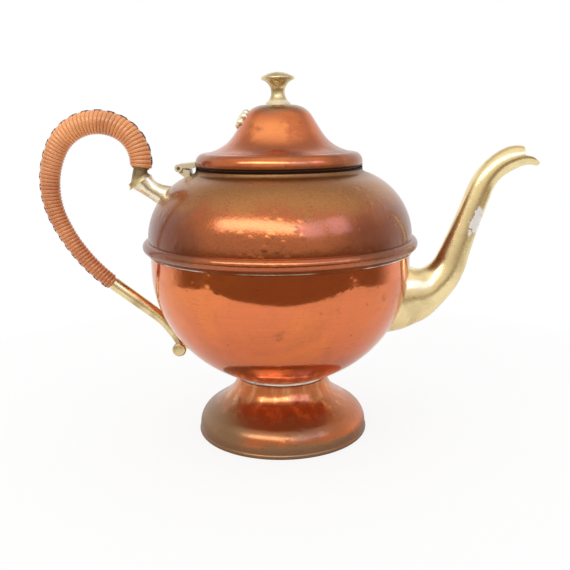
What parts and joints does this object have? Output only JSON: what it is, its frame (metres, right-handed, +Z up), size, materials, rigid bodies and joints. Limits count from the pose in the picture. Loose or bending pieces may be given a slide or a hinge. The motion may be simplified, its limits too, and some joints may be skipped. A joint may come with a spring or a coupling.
{
  "type": "coffee pot",
  "caption": "Copper pedestal coffee pot with an S-curved brass spout, a hinged bell lid with a turned knob, and a brass loop handle wound with cane.",
  "frame": {"origin": "centre of the foot's base, on the pot's axis, on the surface that it stands on", "axes": "+Z up along the pot's axis, +X towards the spout, the handle and the lid's hinge on the -X side"},
  "size_m": [0.2838, 0.1572, 0.2083],
  "materials": {
    "polished_copper": "copper, polished bright",
    "patinated_copper": "copper, satin with a brown patina",
    "cast_brass": "cast brass, polished and worn",
    "turned_brass": "turned brass, tarnished",
    "tin_solder": "tin solder, dull silver",
    "cane": "split cane, varnished"
  },
  "bodies": {
    "pot": {"lower_bowl": "polished_copper", "upper_shoulder": "patinated_copper", "foot": "patinated_copper", "foot_solder_ring": "tin_solder", "spout": "cast_brass", "hinge_pot_leaf": "cast_brass", "hinge_pin": "turned_brass", "handle_bracket": "cast_brass", "bracket_dowel": "turned_brass", "handle_bar": "cast_brass", "cane_winding": "cane", "cane_runner": "cane"},
    "lid_body": {"lid": "patinated_copper", "lid_flange": "patinated_copper", "knob": "turned_brass", "knob_washer": "turned_brass", "knob_nut": "turned_brass", "lid_rosette": "cast_brass", "rosette_rivet": "turned_brass", "hinge_lid_leaf": "cast_brass"}
  },
  "joints": [
    {"name": "lid_hinge", "type": "hinge", "parent": "pot", "child": "lid_body", "pos_m": [-0.0563, 0, 0.1566], "axis": [0, -1, 0], "range_deg": [0, 97]}
  ]
}
